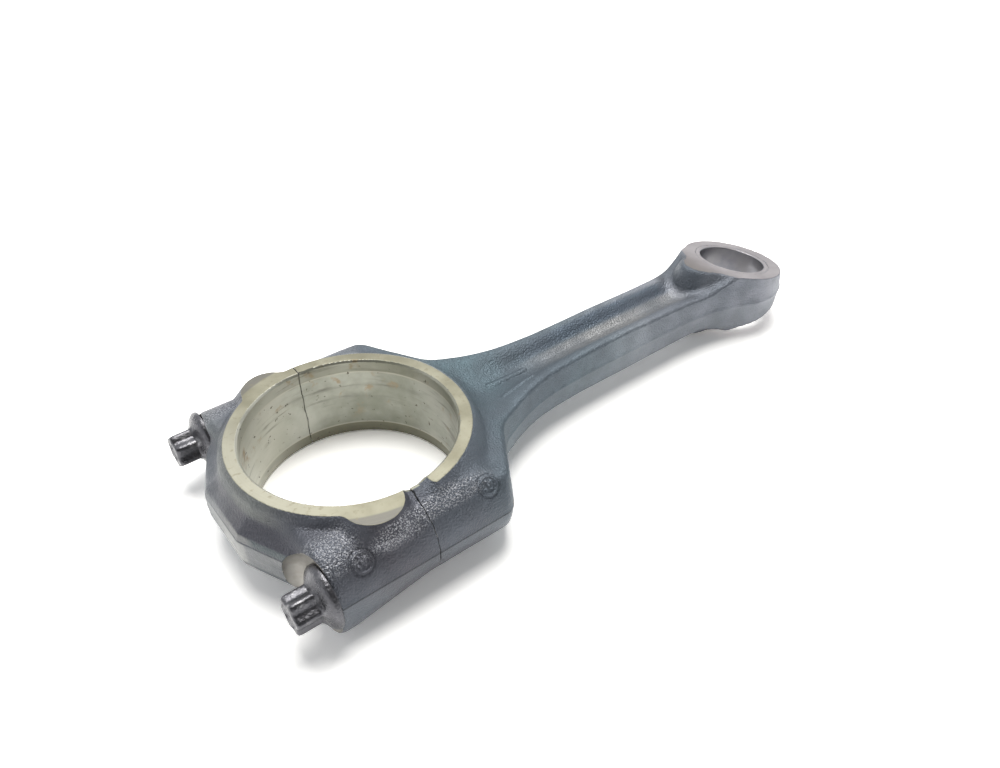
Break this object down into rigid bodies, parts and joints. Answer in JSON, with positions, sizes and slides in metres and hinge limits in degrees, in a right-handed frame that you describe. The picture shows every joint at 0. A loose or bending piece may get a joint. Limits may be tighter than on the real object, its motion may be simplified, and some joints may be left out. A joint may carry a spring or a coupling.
{
  "type": "connecting rod",
  "caption": "Forged engine connecting rod with an I-section shank, a split bearing cap held by flanged bolts, and a tapered small end with a pin bush.",
  "frame": {"origin": "centre of the big-end bore, at half the rod's width", "axes": "+X from the big end to the small end, +Z along both bores, +Y across the shank"},
  "size_m": [0.1961, 0.0796, 0.0248],
  "materials": {
    "forged_steel": "as-forged, oiled, dark blue-grey with machined faces",
    "bush_bronze": "oil-stained bronze",
    "bolt_steel": "black phosphated, oily"
  },
  "bodies": {
    "rod": {"rod_body": "forged_steel", "small_end_bush": "bush_bronze"},
    "cap": {"bearing_cap": "forged_steel"},
    "bolt_left": {"cap_bolt_left": "bolt_steel"},
    "bolt_right": {"cap_bolt_right": "bolt_steel"}
  },
  "joints": [
    {"name": "cap_lift", "type": "slide", "parent": "rod", "child": "cap", "axis": [-1, 0, 0], "range_m": [0, 0.03]},
    {"name": "bolt_left_draw", "type": "slide", "parent": "cap", "child": "bolt_left", "axis": [-1, 0, 0], "range_m": [0, 0.05]},
    {"name": "bolt_right_draw", "type": "slide", "parent": "cap", "child": "bolt_right", "axis": [-1, 0, 0], "range_m": [0, 0.05]}
  ]
}
